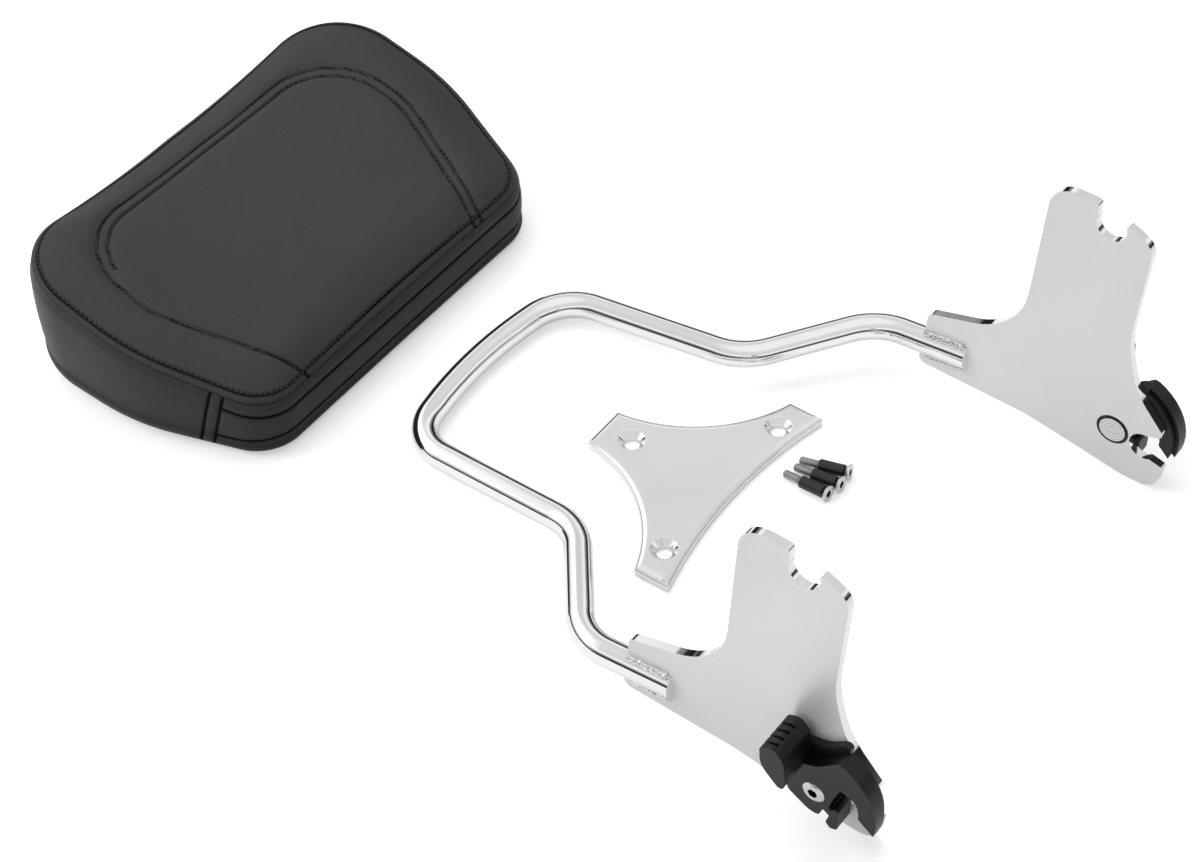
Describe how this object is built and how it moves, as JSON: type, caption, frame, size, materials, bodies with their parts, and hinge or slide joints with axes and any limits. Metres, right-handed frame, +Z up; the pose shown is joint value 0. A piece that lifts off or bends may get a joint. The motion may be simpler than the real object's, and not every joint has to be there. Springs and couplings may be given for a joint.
{
  "type": "detachable sissy bar",
  "caption": "Bent round-bar hoop on two upright docking plates with rotary spring latches, laid out with its padded backrest, three-arm plate and sleeved screws.",
  "frame": {"origin": "centre of the laid-out kit's bounding box in plan, on the floor", "axes": "+Z up from the floor, +X from the pad towards the front of the docking plates, +Y to the bar's right-hand (far) plate"},
  "size_m": [0.5992, 0.3468, 0.1817],
  "materials": {
    "chrome": "polished chrome plate",
    "steel": "bright zinc-plated steel",
    "black_coat": "satin black coat over cast metal",
    "black_plastic": "matte",
    "vinyl": "smooth black vinyl with a fine grain",
    "board": "matte"
  },
  "bodies": {
    "bar": {"hoop_tube": "chrome", "docking_plate_left": "chrome", "docking_plate_right": "chrome", "tube_weld_left": "chrome", "tube_weld_right": "chrome", "pivot_stud_left": "steel", "pivot_stud_right": "steel", "pivot_bush_left": "black_plastic", "pivot_bush_right": "black_plastic", "pivot_screw_left": "chrome", "pivot_screw_right": "chrome", "latch_spring_left": "steel", "latch_spring_right": "steel", "mounting_plate": "chrome", "mount_screw_1": "steel", "mount_screw_2": "steel", "mount_screw_3": "steel", "screw_sleeve_1": "black_plastic", "screw_sleeve_2": "black_plastic", "screw_sleeve_3": "black_plastic", "pad_cushion": "vinyl", "pad_base": "board", "pad_insert_1": "steel", "pad_insert_2": "steel", "pad_insert_3": "steel"},
    "lever_left": {"latch_lever_left": "black_coat", "latch_back_left": "black_coat"},
    "lever_right": {"latch_lever_right": "black_coat", "latch_back_right": "black_coat"}
  },
  "joints": [
    {"name": "lever_left_turn", "type": "hinge", "parent": "bar", "child": "lever_left", "pos_m": [0.2638, -0.1514, 0.03049], "axis": [0, -1, 0], "range_deg": [0, 40], "stiffness_Nm_per_rad": 0.15, "springref_deg": -34.38, "deforming": ["latch_spring_left"]},
    {"name": "lever_right_turn", "type": "hinge", "parent": "bar", "child": "lever_right", "pos_m": [0.2638, 0.1514, 0.03049], "axis": [0, -1, 0], "range_deg": [0, 40], "stiffness_Nm_per_rad": 0.15, "springref_deg": -34.38, "deforming": ["latch_spring_right"]}
  ]
}
